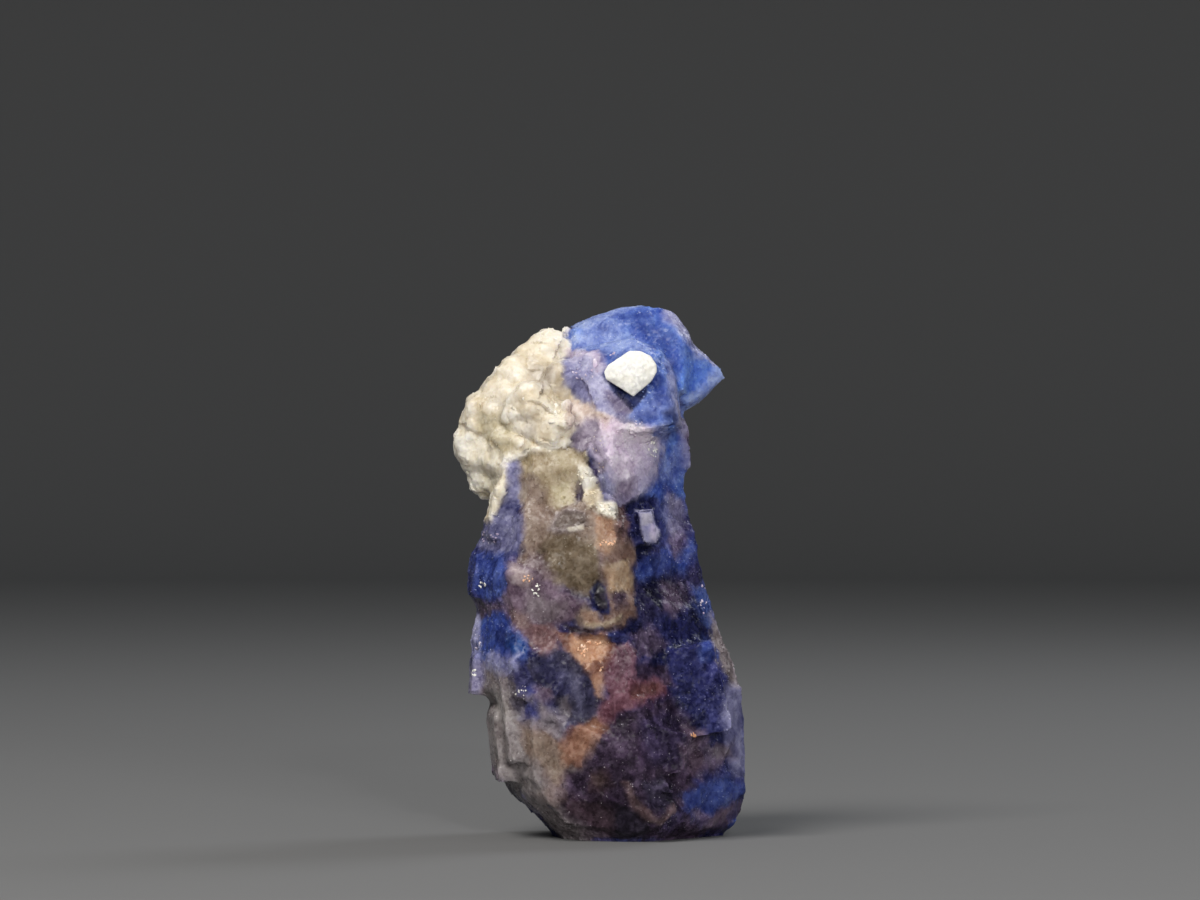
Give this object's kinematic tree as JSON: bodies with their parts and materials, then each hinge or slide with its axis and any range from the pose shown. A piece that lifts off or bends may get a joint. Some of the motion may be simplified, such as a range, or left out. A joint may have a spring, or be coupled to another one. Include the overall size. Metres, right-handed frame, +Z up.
{
  "type": "carletonite crystal",
  "caption": "Rough deep blue crystal fragment with a beaked cap, a pale granular mass on its upper left, cleavage ledges and a small flat foot.",
  "frame": {"origin": "middle of the outer box, on the plane of the flat foot", "axes": "+Z up along the fragment, -Y towards the front with the lens and the forehead grain, +X towards the beak"},
  "size_m": [0.011, 0.0084, 0.02],
  "materials": {
    "carletonite": "vitreous deep blue with navy, lilac and rusty zones, a cream granular mass, an olive glassy lens and sparkling cleavage faces"
  },
  "bodies": {
    "root": {"carletonite_crystal": "carletonite"}
  },
  "joints": []
}
